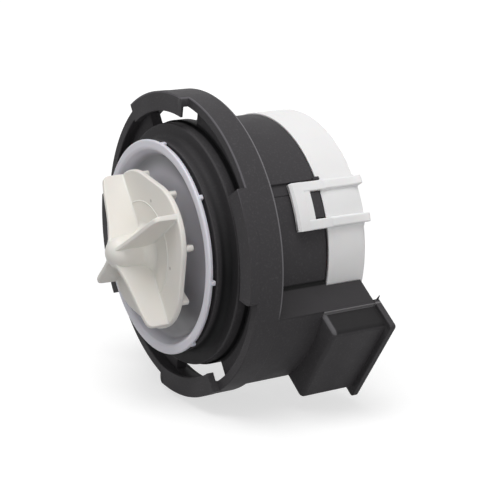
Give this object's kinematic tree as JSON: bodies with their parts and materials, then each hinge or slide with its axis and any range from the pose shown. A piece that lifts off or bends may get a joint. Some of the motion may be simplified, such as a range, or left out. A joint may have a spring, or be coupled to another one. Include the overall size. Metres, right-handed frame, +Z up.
{
  "type": "washer drain pump",
  "caption": "Round drain pump with a bladed impeller in a dished front, a bayonet ring with hook plates, a clip-on rear cover and a side connector block.",
  "frame": {"origin": "pump axis at the spigot and seat face of the housing", "axes": "+Y along the pump axis towards the rear cover, +Z up as in the picture with the axis lying level"},
  "size_m": [0.0902, 0.0625, 0.0854],
  "materials": {
    "housing_plastic": "fine moulded black",
    "cover_plastic": "smooth white",
    "dish_plastic": "milky, slightly translucent",
    "impeller_plastic": "satin cream",
    "cap_plastic": "satin",
    "dog_plastic": "satin",
    "soft_rubber": "matt",
    "shaft_steel": "ground",
    "magnet_ferrite": "ground ferrite",
    "carrier_plastic": "moulded",
    "washer_plastic": "smooth",
    "bearing_carbon": "ground carbon",
    "core_steel": "laminated",
    "bobbin_plastic": "moulded",
    "copper_winding": "enamelled",
    "lead_insulation": "smooth",
    "cutout_case": "moulded",
    "tab_metal": "tinned"
  },
  "bodies": {
    "stator": {"motor_housing": "housing_plastic", "rear_cover": "cover_plastic", "front_cover": "dish_plastic", "cover_gasket": "soft_rubber", "front_bearing": "bearing_carbon", "front_bearing_mount": "soft_rubber", "rear_bearing": "bearing_carbon", "rear_bearing_mount": "soft_rubber", "bearing_carrier": "carrier_plastic", "carrier_oring": "soft_rubber", "shaft_seal": "soft_rubber", "stator_yoke": "core_steel", "stator_poles": "core_steel", "coil_bobbins": "bobbin_plastic", "coil_windings": "copper_winding", "coil_leads": "lead_insulation", "thermal_cutout": "cutout_case", "terminal_blades": "tab_metal"},
    "rotor": {"rotor_shaft": "shaft_steel", "rotor_magnet": "magnet_ferrite", "magnet_carrier": "carrier_plastic", "thrust_washer_front": "washer_plastic", "thrust_washer_rear": "washer_plastic", "drive_dog": "dog_plastic", "drive_damper": "soft_rubber"},
    "wheel": {"impeller": "impeller_plastic", "coupling_cap": "cap_plastic"}
  },
  "joints": [
    {"name": "rotor_spin", "type": "hinge", "parent": "stator", "child": "rotor", "pos_m": [0, 0, 0], "axis": [0, 1, 0], "continuous": true},
    {"name": "impeller_play", "type": "hinge", "parent": "rotor", "child": "wheel", "pos_m": [0, 0, 0], "axis": [0, 1, 0], "range_deg": [-130, 130]}
  ]
}
